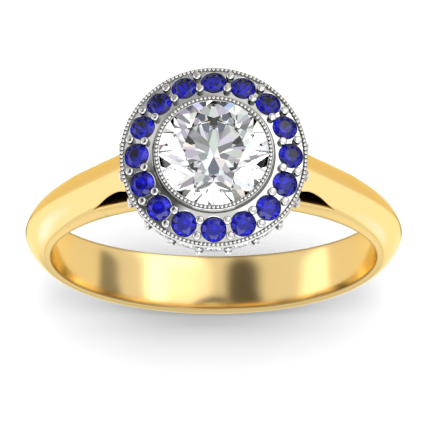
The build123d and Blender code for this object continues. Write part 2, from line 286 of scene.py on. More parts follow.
def add_softbox(name, place, size, power, lights_floor):
    """A square lamp that faces the ring, given by its place in millimetres and its power in watts.
    A lamp that lights the floor stays out of reflections, and one for reflections leaves the floor alone."""
    data = bpy.data.lights.new(name, "AREA")
    data.shape = "SQUARE"
    data.size = size * MM
    data.energy = power
    lamp = bpy.data.objects.new(name, data)
    bpy.context.scene.collection.objects.link(lamp)
    lamp.location = np.array(place) * MM
    across = np.hypot(place[0], place[1])
    lamp.rotation_euler = (0.0, np.arctan2(across, place[2]), np.arctan2(place[1], place[0]))
    lamp.visible_diffuse = lights_floor
    lamp.visible_glossy = not lights_floor
    lamp.visible_transmission = not lights_floor


def set_light_handling():
    """Plain colours, many bounces inside the stones and few between mirrors, so deep corners go dark."""
    scene = bpy.context.scene
    scene.view_settings.view_transform = "Standard"
    scene.cycles.max_bounces = 24
    scene.cycles.glossy_bounces = 3
    scene.cycles.transmission_bounces = 20
    scene.cycles.caustics_reflective = False
    scene.cycles.caustics_refractive = False
    scene.cycles.use_denoising = True
    scene.cycles.denoising_input_passes = "RGB"


build_studio()
set_light_handling()
add_softbox("key_softbox", (10, 10, 400), 150, 0.62, True)
add_softbox("front_softbox", (0, -300, 180), 300, 0.60, False)
print("studio has", len(CARDS + STONE_CARDS + GROUND_CARDS), "painted cards and two softboxes")

# %% [markdown]
# The helpers that turn arrays into finished pieces. Shading is smooth, and an edge that turns more than a
# set angle is kept sharp, so that polished faces meet crisply. A number for each point is painted shade:
# it darkens the colour where little light would reach, from nought in the open to one.


# %% Mesh helpers
def grid_quads(rows, columns, wrap_rows=False, wrap_columns=True):
    """Quads of a grid of points, row by row; a wrapped direction joins its last line to its first."""
    row = np.arange(rows if wrap_rows else rows - 1)[:, None]
    column = np.arange(columns if wrap_columns else columns - 1)[None, :]
    next_row = (row + 1) % rows
    next_column = (column + 1) % columns
    corners = [row * columns + column, row * columns + next_column,
               next_row * columns + next_column, next_row * columns + column]
    return np.stack([c.ravel() for c in np.broadcast_arrays(*corners)], axis=1)


def join(*parts):
    """Puts several sets of points and faces into one."""
    points, faces, start = [], [], 0
    for part_points, part_faces in parts:
        points.append(part_points)
        faces += [[index + start for index in face] for face in part_faces]
        start += len(part_points)
    return np.vstack(points), faces


def fade(value, low, high):
    """Nought at low, one at high, straight between."""
    return np.clip((value - low) / (high - low), 0, 1)


def clean(mesh):
    """Joins points that share a place and turns every face outwards."""
    work = bmesh.new()
    work.from_mesh(mesh)
    bmesh.ops.remove_doubles(work, verts=work.verts, dist=1e-4 * MM)
    bmesh.ops.dissolve_degenerate(work, dist=1e-5 * MM, edges=work.edges)
    bmesh.ops.recalc_face_normals(work, faces=work.faces)
    work.to_mesh(mesh)
    work.free()
    mesh.update()


def make_piece(name, points, faces, material, slot, node_name, sharp=35.0, smooth=True, painted_shade=None):
    """Makes an object from points in millimetres, merges its seams, and rides it on the ring's body.
    Its painted shade, one number a point, runs from nought in the open to one where the colour is darkest."""
    mesh = bpy.data.meshes.new(name)
    mesh.from_pydata((np.asarray(points) * MM).tolist(), [], [list(map(int, f)) for f in faces])
    piece = bpy.data.objects.new(name, mesh)
    bpy.context.scene.collection.objects.link(piece)
    # painted shade is stored on the points and read by the materials
    if painted_shade is not None:
        layer = mesh.attributes.new("painted_shade", "FLOAT", "POINT")
        layer.data.foreach_set("value", np.asarray(painted_shade, dtype=np.float32))
    clean(mesh)
    mesh.materials.append(material)
    if smooth:
        mesh.shade_smooth()
        mesh.set_sharp_from_angle(angle=np.radians(sharp))
    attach(piece, BODY)
    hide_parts(node_name)
    print(name, len(mesh.polygons), "faces")


# %% [markdown]
# Two metals, mirror polished. Real polishing leaves a very fine haze that changes from place to place and
# hairline marks that only show in highlights. Two noises do that: a broad one for the haze, a fine one for
# the marks. The colour is what the metal reflects straight on, the edge colour what it reflects at a
# glance, and the near-black shade colour is painted shade, put where metal would only see more metal.

# %% Metals
HAZE_SCALE = 260.0
MARK_DEPTH = 2e-6
MARK_STRENGTH = 0.05
MARK_TONE = 0.97


def polished_metal(name, colour, edge, shade_colour, haze, mark_scale):
    """Metal whose roughness drifts across the haze range, with a faint bump of polishing marks.
    Where the painted shade attribute rises to one, the bright colour gives way to the painted shade colour."""
    material, tree, shader = new_material(name, Metallic=1.0, Specular_Tint=edge)
    place = node(tree, "ShaderNodeTexCoord").outputs["Object"]
    broad = node(tree, "ShaderNodeTexNoise", Vector=place, Scale=HAZE_SCALE, Detail=3.0, Roughness=0.5)
    fine = node(tree, "ShaderNodeTexNoise", Vector=place, Scale=mark_scale, Detail=4.0, Roughness=0.6)
    rough = node(tree, "ShaderNodeMapRange", Value=broad.outputs["Fac"], To_Min=haze[0], To_Max=haze[1])
    marked = tuple(part * MARK_TONE for part in colour[:3]) + (1.0,)
    tone = blend_colours(tree, fine.outputs["Fac"], colour, marked)
    # painted shade: the attribute mixes the colour towards the near-black shade colour
    painted_shade = node(tree, "ShaderNodeAttribute", {"attribute_name": "painted_shade"})
    bump = node(tree, "ShaderNodeBump", Strength=MARK_STRENGTH, Distance=MARK_DEPTH,
                Height=fine.outputs["Fac"])
    feed(tree, shader.inputs["Roughness"], rough.outputs["Result"])
    feed(tree, shader.inputs["Base Color"], blend_colours(tree, painted_shade.outputs["Fac"], tone, shade_colour))
    feed(tree, shader.inputs["Normal"], bump.outputs["Normal"])
    return material


# the near-black third colour of each metal is painted shade
gold = polished_metal("polished_yellow_gold", colour=(0.86, 0.63, 0.275, 1.0), edge=(1.0, 0.92, 0.64, 1.0),
                      shade_colour=(0.020, 0.012, 0.004, 1.0), haze=(0.13, 0.19), mark_scale=2600.0)
white_metal = polished_metal("polished_white_metal", colour=(0.70, 0.70, 0.685, 1.0),
                             edge=(1.0, 1.0, 1.0, 1.0), shade_colour=(0.045, 0.045, 0.042, 1.0),
                             haze=(0.03, 0.07), mark_scale=3200.0)
print("metals:", gold.name, "and", white_metal.name)

# %% [markdown]
# The stones. Both are clear and refract; diamond bends light far more than sapphire. Sapphire gets its blue
# as light is tinted each time it passes a facet, with a faint drift in tone that natural crystals show. A
# volume that absorbs light would be closer to nature, but it is slow and loses its colour in an export.


# %% Stones
def clear_stone(name, colour, second_colour, girdle_shade, index, zone_scale):
    """Clear shader with its own refractive index, and a colour that drifts between two tones and is darkened
    by painted shade where the painted shade attribute rises."""
    shine = (0.5, 0.5, 0.5, 1.0)
    material, tree, shader = new_material(name, Transmission_Weight=1.0, Roughness=0.0, IOR=index,
                                          Specular_Tint=shine)
    place = node(tree, "ShaderNodeTexCoord").outputs["Object"]
    zones = node(tree, "ShaderNodeTexNoise", Vector=place, Scale=zone_scale, Detail=1.0)
    tone = blend_colours(tree, zones.outputs["Fac"], colour, second_colour)
    # painted shade towards the girdle, read from the points
    depth = node(tree, "ShaderNodeAttribute", {"attribute_name": "painted_shade"})
    feed(tree, shader.inputs["Base Color"], blend_colours(tree, depth.outputs["Fac"], tone, girdle_shade))
    return material


diamond = clear_stone("diamond", (1.0, 1.0, 1.0, 1.0), (0.98, 0.99, 1.0, 1.0), (0.9, 0.9, 0.9, 1.0),
                      index=2.417, zone_scale=300.0)
sapphire = clear_stone("sapphire", (0.010, 0.010, 0.55, 1.0), (0.018, 0.018, 0.70, 1.0),
                       (0.004, 0.004, 0.15, 1.0), index=1.77, zone_scale=500.0)
print("stones:", diamond.name, "and", sapphire.name)

# %% [markdown]
# The shank. The real one is cast, then filed and polished: a band with a knife edge at the shoulders that
# turns flat at the bottom, two arms, and a rail under the head. It could be cut from a solid, but cuts
# leave ragged meshes. Here it is one sweep: an inner guide follows the finger hole, an outer guide follows
# the ridge, and a section stands between them.

# %% Shank sizes
FINGER_R = 8.25
BAND_WIDTH = 2.49
WIDTH_TAPER = 0.052
SIDE_THICKNESS = 1.36
BASE_THICKNESS = 1.50
WALL_HEIGHT = 0.35
KNIFE_EXPONENT = 1.5
FLAT_EXPONENT = 4.0
RAIL_R = 9.66
RAIL_CREST = 0.12
RAIL_EXPONENT = 5.0
ARM_TOP = np.array([4.43, 11.36])
SHOULDER_ANGLE = 68.7
TIP_ANGLE = 52.0
ARM_CREST = 0.62
STUB_BOTTOM = 10.66
STUB_END_X = 2.25
WINDOW_CROWN = [(5.68, 8.36), (5.18, 9.41), (4.50, 10.38), (3.75, STUB_BOTTOM), (STUB_END_X, STUB_BOTTOM)]
EDGE_ROUND = 0.05
COMFORT_DROP = 0.045


def low_share(angle):
    """One at the bottom of the ring, falling with the cube of depth to nought at its sides."""
    return np.clip(-np.sin(np.radians(angle)), 0, 1) ** 3


def rise_share(angle):
    """Nought at the side of the ring, one at the top of an arm."""
    return np.clip(angle, 0, None) / SHOULDER_ANGLE


def ridge_radius(angle):
    """Round below; above the side it gains a mix of the square and the fifth power of the rise."""
    low, rise = low_share(angle), rise_share(angle)
    thickness = SIDE_THICKNESS + (BASE_THICKNESS - SIDE_THICKNESS) * low
    reach = np.hypot(*ARM_TOP) - FINGER_R - SIDE_THICKNESS
    return FINGER_R + thickness + reach * (0.30 * rise ** 2 + 0.70 * rise ** 5)


def crest_height(angle):
    """Height of the ridge over the flat wall, easing to the arm's own value."""
    at_side = ridge_radius(angle) - FINGER_R - WALL_HEIGHT
    return at_side + (ARM_CREST - at_side) * np.clip(1.6 * rise_share(angle), 0, 1)


def band_width(angle):
    """Narrows steadily with height above the hole's centre."""
    return BAND_WIDTH - WIDTH_TAPER * FINGER_R * np.sin(np.radians(angle))


def on_circle(radius, angle):
    """Points of the upright plane, as x and z, at a radius and an angle in degrees."""
    return np.stack([radius * np.cos(np.radians(angle)), radius * np.sin(np.radians(angle))], axis=-1)


# %% [markdown]
# One section, for all stations at once. Points run round the section: across the finger side, up one wall,
# over the crest and down the other wall. Each point is a place across the band and a height above the inner
# guide, so the same function serves the band, the arms and the rail. The crest is a superellipse, because
# one exponent takes it from a knife edge to a nearly square top.

# %% The section
BORE_POINTS = 25
CORNER_POINTS = 5
WALL_POINTS = 4
CREST_POINTS = 25
SIDE_POINTS = CORNER_POINTS + WALL_POINTS + CREST_POINTS
LEAST_WALL = 0.01


def section_points(width, height, crest, exponent, comfort, edge):
    """Rows of (across, up). Finger side: a very flat parabola. Corners: quarter circles of radius edge.
    Crest: across = half * sin^(2/n), up = crest * cos^(2/n). Where the crest is taller than the section,
    its foot is cut off and the walls start at the crest's width there."""
    edge = np.minimum(edge, 0.3 * np.maximum(height - crest, 0.1))
    full_half, height, crest, power, edge, comfort = (
        np.asarray(values, dtype=float)[:, None]
        for values in (width / 2, height, crest, 2 / exponent, edge, comfort))
    wall_low, crest_foot = comfort + edge, height - crest
    sunk = np.maximum(0.0, wall_low + LEAST_WALL - crest_foot)
    start = np.arccos((sunk / crest) ** (1 / power))
    half = full_half * np.sin(start) ** power
    flat = np.linspace(-1, 1, BORE_POINTS)[None, :]
    floor_across = flat * (half - edge)
    floor_up = comfort * np.abs(flat) ** 4
    corner = np.linspace(0, np.pi / 2, CORNER_POINTS + 1)[None, 1:]
    corner_across = half - edge + edge * np.sin(corner)
    corner_up = comfort + edge * (1 - np.cos(corner))
    wall = np.linspace(0, 1, WALL_POINTS + 2)[None, 1:-1]
    wall_up = wall_low + (crest_foot + sunk - wall_low) * wall
    wall_across = half + 0 * wall_up
    arc = start * np.linspace(1, 0, CREST_POINTS)[None, :]
    crest_across = full_half * np.sin(arc) ** power
    crest_up = crest_foot + crest * np.clip(np.cos(arc), 0, 1) ** power
    side_across = np.concatenate([corner_across, wall_across, crest_across], axis=1)
    side_up = np.concatenate([corner_up, wall_up, crest_up], axis=1)
    across = np.concatenate([floor_across, side_across, -side_across[:, -2::-1]], axis=1)
    up = np.concatenate([floor_up, side_up, side_up[:, -2::-1]], axis=1)
    return across, up


def sweep(inner, outer, width, crest, exponent, comfort, edge):
    """Stands each section between two guide curves of the upright plane and returns points and quads."""
    rise = outer - inner
    height = np.linalg.norm(rise, axis=1)
    across, up = section_points(width, height, crest, exponent, comfort, edge)
    direction = rise / height[:, None]
    x = inner[:, :1] + up * direction[:, :1]
    z = inner[:, 1:] + up * direction[:, 1:]
    points = np.stack([x, across, z], axis=-1)
    rows, columns = across.shape
    quads = grid_quads(rows, columns)
    caps = [np.arange(columns)[::-1].tolist(), ((rows - 1) * columns + np.arange(columns)).tolist()]
    return points.reshape(-1, 3), quads.tolist() + caps


def smooth_curve(points, count):
    """Points evenly spaced along a smooth curve through a few given points (a Catmull-Rom chain)."""
    points = np.asarray(points, dtype=float)
    padded = np.vstack([2 * points[0] - points[1], points, 2 * points[-1] - points[-2]])
    t = np.linspace(0, len(points) - 1 - 1e-9, 40 * len(points))
    i = t.astype(int)
    f = (t - i)[:, None]
    p0, p1, p2, p3 = (padded[i + k] for k in range(4))
    dense = 0.5 * (2 * p1 + (p2 - p0) * f + (2 * p0 - 5 * p1 + 4 * p2 - p3) * f ** 2
                   + (3 * p1 - p0 - 3 * p2 + p3) * f ** 3)
    along = np.concatenate([[0], np.cumsum(np.linalg.norm(np.diff(dense, axis=0), axis=1))])
    wanted = np.linspace(0, along[-1], count)
    return np.stack([np.interp(wanted, along, dense[:, k]) for k in range(2)], axis=1)


# %% [markdown]
# Band, arms and rail. Half of the band and one arm are laid out station by station and mirrored, so left
# and right match exactly. Every station of an arm points away from the hole's centre, as on the band, so
# the ridge runs on without a kink.

# %% Band, arms and rail
BAND_STATIONS = 150
ARM_STATIONS = 60
RAIL_STATIONS = 90


def arm_guides():
    """Inner and outer guides of one arm, from the window's tip to the arm's end inside the head."""
    inner = smooth_curve([on_circle(RAIL_R, TIP_ANGLE)] + WINDOW_CROWN, ARM_STATIONS)
    angles = np.degrees(np.arctan2(inner[:, 1], inner[:, 0]))
    rising = angles <= SHOULDER_ANGLE
    ridge = on_circle(ridge_radius(np.minimum(angles, SHOULDER_ANGLE)), angles)
    level_x = np.interp(inner[:, 0], [STUB_END_X, inner[rising][-1, 0]], [STUB_END_X, ARM_TOP[0]])
    level = np.stack([level_x, np.full(ARM_STATIONS, ARM_TOP[1])], axis=1)
    return inner, np.where(rising[:, None], ridge, level)


def both_sides(stations):
    """Adds the mirror image of stations that start at the bottom; a place's x changes sign there."""
    flip = np.array([-1, 1]) if stations.ndim == 2 else 1
    return np.concatenate([stations[:0:-1] * flip, stations])


def build_outer_sweep():
    """Band and both arms as one sweep, symmetrical about the bottom of the ring."""
    angles = np.linspace(-90, TIP_ANGLE, BAND_STATIONS)
    arm_inner, arm_outer = arm_guides()
    inner = np.vstack([on_circle(FINGER_R, angles), arm_inner])
    outer = np.vstack([on_circle(ridge_radius(angles), angles), arm_outer])
    arm_angles = np.degrees(np.arctan2(arm_outer[:, 1], arm_outer[:, 0]))
    lookup = np.clip(np.concatenate([angles, arm_angles]), -90, SHOULDER_ANGLE)
    exponent = KNIFE_EXPONENT + (FLAT_EXPONENT - KNIFE_EXPONENT) * low_share(lookup)
    comfort = np.repeat([COMFORT_DROP, 0.0], [BAND_STATIONS, ARM_STATIONS])
    edge = np.full(len(lookup), EDGE_ROUND)
    parts = (inner, outer, band_width(lookup), crest_height(lookup), exponent, comfort, edge)
    return sweep(*map(both_sides, parts))


def build_rail():
    """Finger rail from one window's tip to the other, butted against the band."""
    angles = np.linspace(TIP_ANGLE, 180 - TIP_ANGLE, RAIL_STATIONS)
    fold = np.where(angles > 90, 180 - angles, angles)
    same = np.ones(RAIL_STATIONS)
    return sweep(on_circle(FINGER_R, angles), on_circle(RAIL_R, angles), band_width(fold), RAIL_CREST * same,
                 RAIL_EXPONENT * same, COMFORT_DROP * same, EDGE_ROUND * same)


# %% [markdown]
# Shade on the shank. Light hardly reaches the rail's top inside the windows, and a polished corner shows as
# a thin dark line. Both are painted shade, put into the number each point carries, which the gold reads.
# The walls also get a little painted shade towards the bottom of the ring.

# %% Shade on the shank
CORNER_LINE = (0.42, 0.70, 0.85, 0.70, 0.42)
WALL_TOP_LINE = (0.15, 0.30, 0.12)
BORE_LINE = 0.50
DUSK = 0.22
OPEN_WALL = 14     # side points in full dusk; the rest fade out towards the ridge


def window_shade(points):
    """Painted shade, one on the rail's top between the windows' tips."""
    radius = np.hypot(points[:, 0], points[:, 2])
    above_tip = fade(points[:, 2], 7.62, 7.70)
    rail_top = fade(radius, RAIL_R - 0.02, RAIL_R - 0.002) * fade(radius, RAIL_R + 0.05, RAIL_R + 0.01)
    return above_tip * rail_top


def edge_shade(points):
    """Painted shade per column of the section: darker lines on the eased corners and where the wall meets
    the crest, and a little dusk painted on the walls towards the bottom of the ring."""
    bore = np.zeros(BORE_POINTS)
    bore[[0, -1]] = BORE_LINE
    side = np.zeros(SIDE_POINTS)
    side[:CORNER_POINTS] = CORNER_LINE
    wall_top = CORNER_POINTS + WALL_POINTS
    side[wall_top - 1:wall_top + 2] = WALL_TOP_LINE
    wall = np.concatenate([np.ones(OPEN_WALL), np.linspace(1, 0, SIDE_POINTS - OPEN_WALL)])
    lines = np.concatenate([bore, side, side[-2::-1]])
    walls = np.concatenate([0 * bore, wall, wall[-2::-1]])
    rows = len(points) // len(lines)
    dusk = DUSK * fade(points[:, 2], 3.5, -1.5) * np.tile(walls, rows)
    return np.maximum(np.tile(lines, rows), dusk)


shank_points, shank_faces = join(build_outer_sweep(), build_rail())
# painted shade: the rail's top in the windows, thin dark corner lines and the lower walls
make_piece("shank_casting", shank_points, shank_faces, gold, "yellow_gold", "shank", sharp=28,
           painted_shade=np.maximum(window_shade(shank_points), edge_shade(shank_points)))

# %% [markdown]
# Turned pieces: the collet, the base ring and the milgrain wires are all profiles spun about the upright
# axis, just as a maker turns them on a lathe. Corners are rounded a little before the profile is spun,
# because a real edge always catches a line of light. Rounding the profile is cheaper and cleaner than a
# bevel.


# %% Turning helpers
def rounded(outline, radius, steps=4):
    """Outline with each corner cut back by radius and bridged by a parabola through the corner's pull."""
    outline = np.asarray(outline, dtype=float)
    before, after = np.roll(outline, 1, axis=0), np.roll(outline, -1, axis=0)
    back, ahead = before - outline, after - outline
    back_length = np.linalg.norm(back, axis=1)[:, None]
    ahead_length = np.linalg.norm(ahead, axis=1)[:, None]
    reach = np.minimum(radius, 0.45 * np.minimum(back_length, ahead_length))
    start = outline + back / back_length * reach
    stop = outline + ahead / ahead_length * reach
    t = np.linspace(0, 1, steps + 1)[None, :, None]
    curve = (1 - t) ** 2 * start[:, None] + 2 * t * (1 - t) * outline[:, None] + t ** 2 * stop[:, None]
    return curve.reshape(-1, 2)


def turned_points(profile, around):
    """Carries each (radius, height) of a profile round the upright axis: x = r cos, y = r sin."""
    profile = np.asarray(profile, dtype=float)
    turn = np.arange(around) * 2 * np.pi / around
    x = profile[:, 0, None] * np.cos(turn)
    y = profile[:, 0, None] * np.sin(turn)
    z = np.broadcast_to(profile[:, 1, None], x.shape)
    return np.stack([x, y, z], axis=-1).reshape(-1, 3)


def spin(outline, around):
    """Closed ring of revolution from a closed outline."""
    return turned_points(outline, around), grid_quads(len(outline), around, wrap_rows=True).tolist()


def spin_knob(profile, around):
    """Small turned knob whose profile runs from its foot to its pole; one flat face closes the foot."""
    foot = np.arange(around)[::-1].tolist()
    return turned_points(profile, around), grid_quads(len(profile), around).tolist() + [foot]


# %% [markdown]
# The collet is the cup that holds the centre stone: a cone up to its neck, a straight wall, a thin lip
# pressed over the stone's edge, and a sloping seat inside. The base ring under it rests on the rail. The
# wall gets painted shade towards its foot, where it would only reflect the halo plate.

# %% Collet and base ring
STONE_R = 2.75
GIRDLE_Z = 13.28
GIRDLE_HEIGHT = 0.06
COLLET_R = collet_high[0]
COLLET_TOP = collet_high[2]
COLLET_NECK_Z = 12.55
COLLET_FOOT_R = 2.00
COLLET_FOOT_Z = collet_low[2]
COLLET_WALL = 0.32
LIP_R = 2.66
SEAT_DEPTH = 0.28
WALL_FOOT_Z = 13.10
BASE_INNER_R = 1.45
BASE_FOOT_Z = 9.30


def collet_outline():
    """Outer cone and wall, lip, undercut for the stone's edge, seat, and the bore's foot."""
    seat = GIRDLE_Z - GIRDLE_HEIGHT / 2
    return [(COLLET_FOOT_R, COLLET_FOOT_Z), (COLLET_R, COLLET_NECK_Z), (COLLET_R, COLLET_TOP),
            (LIP_R, COLLET_TOP), (STONE_R, COLLET_TOP - (STONE_R - LIP_R)), (STONE_R, seat),
            (STONE_R - SEAT_DEPTH, seat - SEAT_DEPTH), (COLLET_FOOT_R - COLLET_WALL, COLLET_FOOT_Z)]


def base_outline():
    """A plain ring whose foot is hidden in the rail's curve."""
    return [(BASE_INNER_R, BASE_FOOT_Z), (base_high[0], BASE_FOOT_Z),
            (base_high[0], base_high[2]), (BASE_INNER_R, base_high[2])]


collet_points, collet_faces = spin(rounded(collet_outline(), 0.03), 256)
# painted shade down the collet's wall to the plate, none below the neck
down_the_wall = fade(collet_points[:, 2], COLLET_TOP - 0.04, WALL_FOOT_Z)
above_the_neck = fade(collet_points[:, 2], 12.2, 12.6)
make_piece("bezel_collet", collet_points, collet_faces, white_metal, "white_metal", "collet",
           painted_shade=0.42 * down_the_wall * above_the_neck)
make_piece("base_ring_seat", *spin(rounded(base_outline(), 0.04), 192), white_metal, "white_metal",
           "base_ring")

# %% [markdown]
# Milgrain is a row of tiny beads rolled along an edge. Each bead is a low dome of a few dozen faces, and
# one array operation copies it round the circle: finer beads would cost a hundred thousand faces and look
# the same. A thin wire joins the beads, as the rolled edge does, and painted shade darkens the gaps between
# them.

# %% Milgrain
MILGRAIN_R = 0.10
MILGRAIN_WIRE = 0.03
MILGRAIN_SHADE = 0.8
BEZEL_CIRCLE = 2.80
BEZEL_COUNT = 86
RIM_CIRCLE = 4.49
RIM_COUNT = 136
TRACK_Z = 12.78


def dome(radius, around, rings, depth):
    """Half a ball with a short skirt below it, from the skirt's foot to the pole."""
    lift = np.linspace(0, np.pi / 2, rings)
    row_radius = np.concatenate([[radius], radius * np.cos(lift)])
    row_radius[-1] = 0.0
    row_height = np.concatenate([[-depth], radius * np.sin(lift)])
    return spin_knob(np.column_stack([row_radius, row_height]), around)


def copies(shape, origins, ups, outs):
    """Copies of a shape: each is turned so that its z follows up and its x follows out, then moved."""
    points, faces = shape
    sides = np.cross(ups, outs)
    placed = (origins[:, None] + points[None, :, :1] * outs[:, None] + points[None, :, 1:2] * sides[:, None]
              + points[None, :, 2:] * ups[:, None])
    return placed.reshape(-1, 3), repeated(faces, len(points), len(origins))


def repeated(faces, point_count, times):
    """The same faces for each copy, with their point numbers moved on."""
    return [[index + copy * point_count for index in face] for copy in range(times) for face in faces]


def ring_places(circle, height, count, offset, tilt):
    """Places round the axis, clockwise from the back: origins, ups that lean out by tilt, and outs."""
    turn = np.pi / 2 - (np.arange(count) + offset) * 2 * np.pi / count
    flat = np.stack([np.cos(turn), np.sin(turn), 0 * turn], axis=1)
    axis = np.array([0.0, 0.0, 1.0])
    origins = circle * flat + height * axis
    ups = np.sin(tilt) * flat + np.cos(tilt) * axis
    outs = np.cos(tilt) * flat - np.sin(tilt) * axis
    return origins, ups, outs


def milgrain(circle, height, count):
    """Beads on a wire; the wire is a low rounded band under them. Painted shade darkens the wire and the
    beads' feet.
    """
    bead = dome(MILGRAIN_R, 10, 4, 0.05)
    top = height + MILGRAIN_WIRE
    beads = copies(bead, *ring_places(circle, top, count, 0, 0.0))
    wire = rounded([(circle - MILGRAIN_R, height - 0.01), (circle + MILGRAIN_R, height - 0.01),
                    (circle + MILGRAIN_R, top), (circle - MILGRAIN_R, top)], 0.01, 2)
    points, faces = join(beads, spin(wire, 192))
    # painted shade on the wire and the beads' feet, leaving their tops bright
    return points, faces, MILGRAIN_SHADE * fade(points[:, 2] - height, 0.085, 0.035)


milgrain_rows = [
    ("bezel_milgrain_beads", milgrain(BEZEL_CIRCLE, COLLET_TOP, BEZEL_COUNT), "bezel_milgrain"),
    ("rim_milgrain_beads", milgrain(RIM_CIRCLE, TRACK_Z, RIM_COUNT), "halo_rim_milgrain"),
]
for name, (points, faces, shade), replaced in milgrain_rows:
    make_piece(name, points, faces, white_metal, "white_metal", replaced, painted_shade=shade)

# %% [markdown]
# The halo plate is a cone pierced by sixteen round seats, and the side band is a drum pierced by twenty. On
# the bench a burr cuts the seats; in mesh code a boolean cutter would leave ragged edges. So each sector of
# the ring is mapped instead: a patch of lines runs from the seat's edge to the border of its sector.
# Neighbours share their border points, so the ring closes into one skin.

# %% Pierced rings
SIDE_STEPS = 14
PATCH_STEPS = 8
SEAT_HOLE = 0.62     # the hole behind a seat, as a share of its stone's radius


def sector_border(low, high, half_angle):
    """Border of a sector as (u, angle), anticlockwise from one corner, evenly spaced on each side."""
    t = np.linspace(0, 1, SIDE_STEPS, endpoint=False)
    sides = [
        np.stack([low + (high - low) * t, np.full_like(t, -half_angle)], axis=1),
        np.stack([np.full_like(t, high), half_angle * (2 * t - 1)], axis=1),
        np.stack([high + (low - high) * t, np.full_like(t, half_angle)], axis=1),
        np.stack([np.full_like(t, low), half_angle * (1 - 2 * t)], axis=1),
    ]
    return np.concatenate(sides)


class SeatFrame:
    """A seat's own frame: its centre, its axis pointing out of the metal, and two directions across it.
    to_uv turns places on the ring back into (u, angle)."""

    def __init__(self, centre, axis, first, to_uv):
        self.centre = np.array(centre, dtype=float)
        self.axis = np.array(axis, dtype=float)
        self.first = np.array(first, dtype=float)
        self.second = np.cross(self.axis, self.first)
        self.to_uv = to_uv

    def direction_of(self, offset):
        """Angle round the seat of each offset from its centre."""
        return np.arctan2(offset @ self.second, offset @ self.first)

    def ring(self, ways, radius, depth):
        """Points at a radius from the axis and a depth below the mouth, one for each angle."""
        across = np.cos(ways)[:, None] * self.first + np.sin(ways)[:, None] * self.second
        return self.centre + radius * across - depth * self.axis


def seat_steps(radius):
    """Radius and depth of a seat's rings: a bright chamfer, a straight wall and a cone to the back hole."""
    return [(radius + 0.060, 0.0), (radius + 0.034, 0.010), (radius + 0.008, 0.045), (radius + 0.003, 0.10),
            (0.80 * radius, 0.24), (SEAT_HOLE * radius, 0.30)]


def patch(mouth, border, to_place):
    """Rings of a patch: each goes a share of the way, in (u, angle), from the mouth to the border."""
    t = np.linspace(0, 1, PATCH_STEPS)[:, None, None]
    between = mouth[None] * (1 - t) + border[None] * t
    return list(to_place(between.reshape(-1, 2)).reshape(PATCH_STEPS, -1, 3))


def pierced_sector(centre_u, low, high, half_angle, to_front, to_back, seat, stone_radius):
    """Skin of one sector: front patch, seat wall, back patch and border wall.
    to_front and to_back turn (u, angle) into places."""
    border = sector_border(low, high, half_angle)
    ways = seat.direction_of(to_front(border) - to_front(np.array([[centre_u, 0.0]]))[0])
    (mouth, _), *below = seat_steps(stone_radius)
    rings = patch(seat.to_uv(seat.ring(ways, mouth, 0.0)), border, to_front)[::-1]
    rings += [seat.ring(ways, radius, depth) for radius, depth in below]
    rings += patch(seat.to_uv(seat.ring(ways, SEAT_HOLE * stone_radius, 0.0)), border, to_back)
    points = np.stack(rings)
    rows, columns = points.shape[:2]
    last = (rows - 1) * columns
    walls = [[a, b, last + b, last + a] for a, b in curved_border(columns)]
    return points.reshape(-1, 3), grid_quads(rows, columns).tolist() + walls


def curved_border(columns):
    """Border steps that lie on the two curved sides, where front and back are joined by a wall."""
    index = np.arange(columns)
    side = index // SIDE_STEPS
    keep = (side == 1) | (side == 3)
    return np.stack([index[keep], (index[keep] + 1) % columns], axis=1).tolist()


def round_axis(radius, angle, height):
    """Places at a radius and angle round the upright axis and at a height."""
    return np.stack([radius * np.cos(angle), radius * np.sin(angle), height + 0 * angle], axis=1)


def fill_circle(sector, count):
    """Copies of a sector turned round the upright axis to fill the circle."""
    points, faces = sector
    turn = np.arange(count) * 2 * np.pi / count
    cos, sin = np.cos(turn)[:, None], np.sin(turn)[:, None]
    x = cos * points[:, 0] - sin * points[:, 1]
    y = sin * points[:, 0] + cos * points[:, 1]
    z = np.broadcast_to(points[:, 2], x.shape)
    return np.stack([x, y, z], axis=-1).reshape(-1, 3), repeated(faces, len(points), count)


# %% [markdown]
# The halo plate falls outwards like a low roof, so the sapphires lean away from the centre stone. A turned
# track at its rim carries the outer milgrain, and a turned foot in a narrow groove meets the collet.

# %% Halo plate
HALO_SLOPE = np.radians(16.5)
HALO_Z = 12.95
HALO_R = plate_high[0]
HALO_THICKNESS = 0.45
SAPPHIRE_CIRCLE = 3.77
SAPPHIRE_R = 0.60
SAPPHIRE_COUNT = 16
TRACK_INNER_R = 4.38
UNDERSIDE_Z = plate_low[2]
GROOVE = 0.10
FOOT_SHADE = 0.35


def plate_height(radius):
    """Straight line of a cone through the sapphires' circle."""
    return HALO_Z - (radius - SAPPHIRE_CIRCLE) * np.tan(HALO_SLOPE)


def plate_front(uv):
    """(radius, angle) to a place on the cone; the sector's middle lies along x."""
    return round_axis(uv[:, 0], uv[:, 1], plate_height(uv[:, 0]))


def plate_back(uv):
    """The same, on the underside."""
    return plate_front(uv) - [0, 0, HALO_THICKNESS]


def polar_uv(points):
    """Place to (radius, angle)."""
    return np.stack([np.hypot(points[:, 0], points[:, 1]), np.arctan2(points[:, 1], points[:, 0])], axis=1)


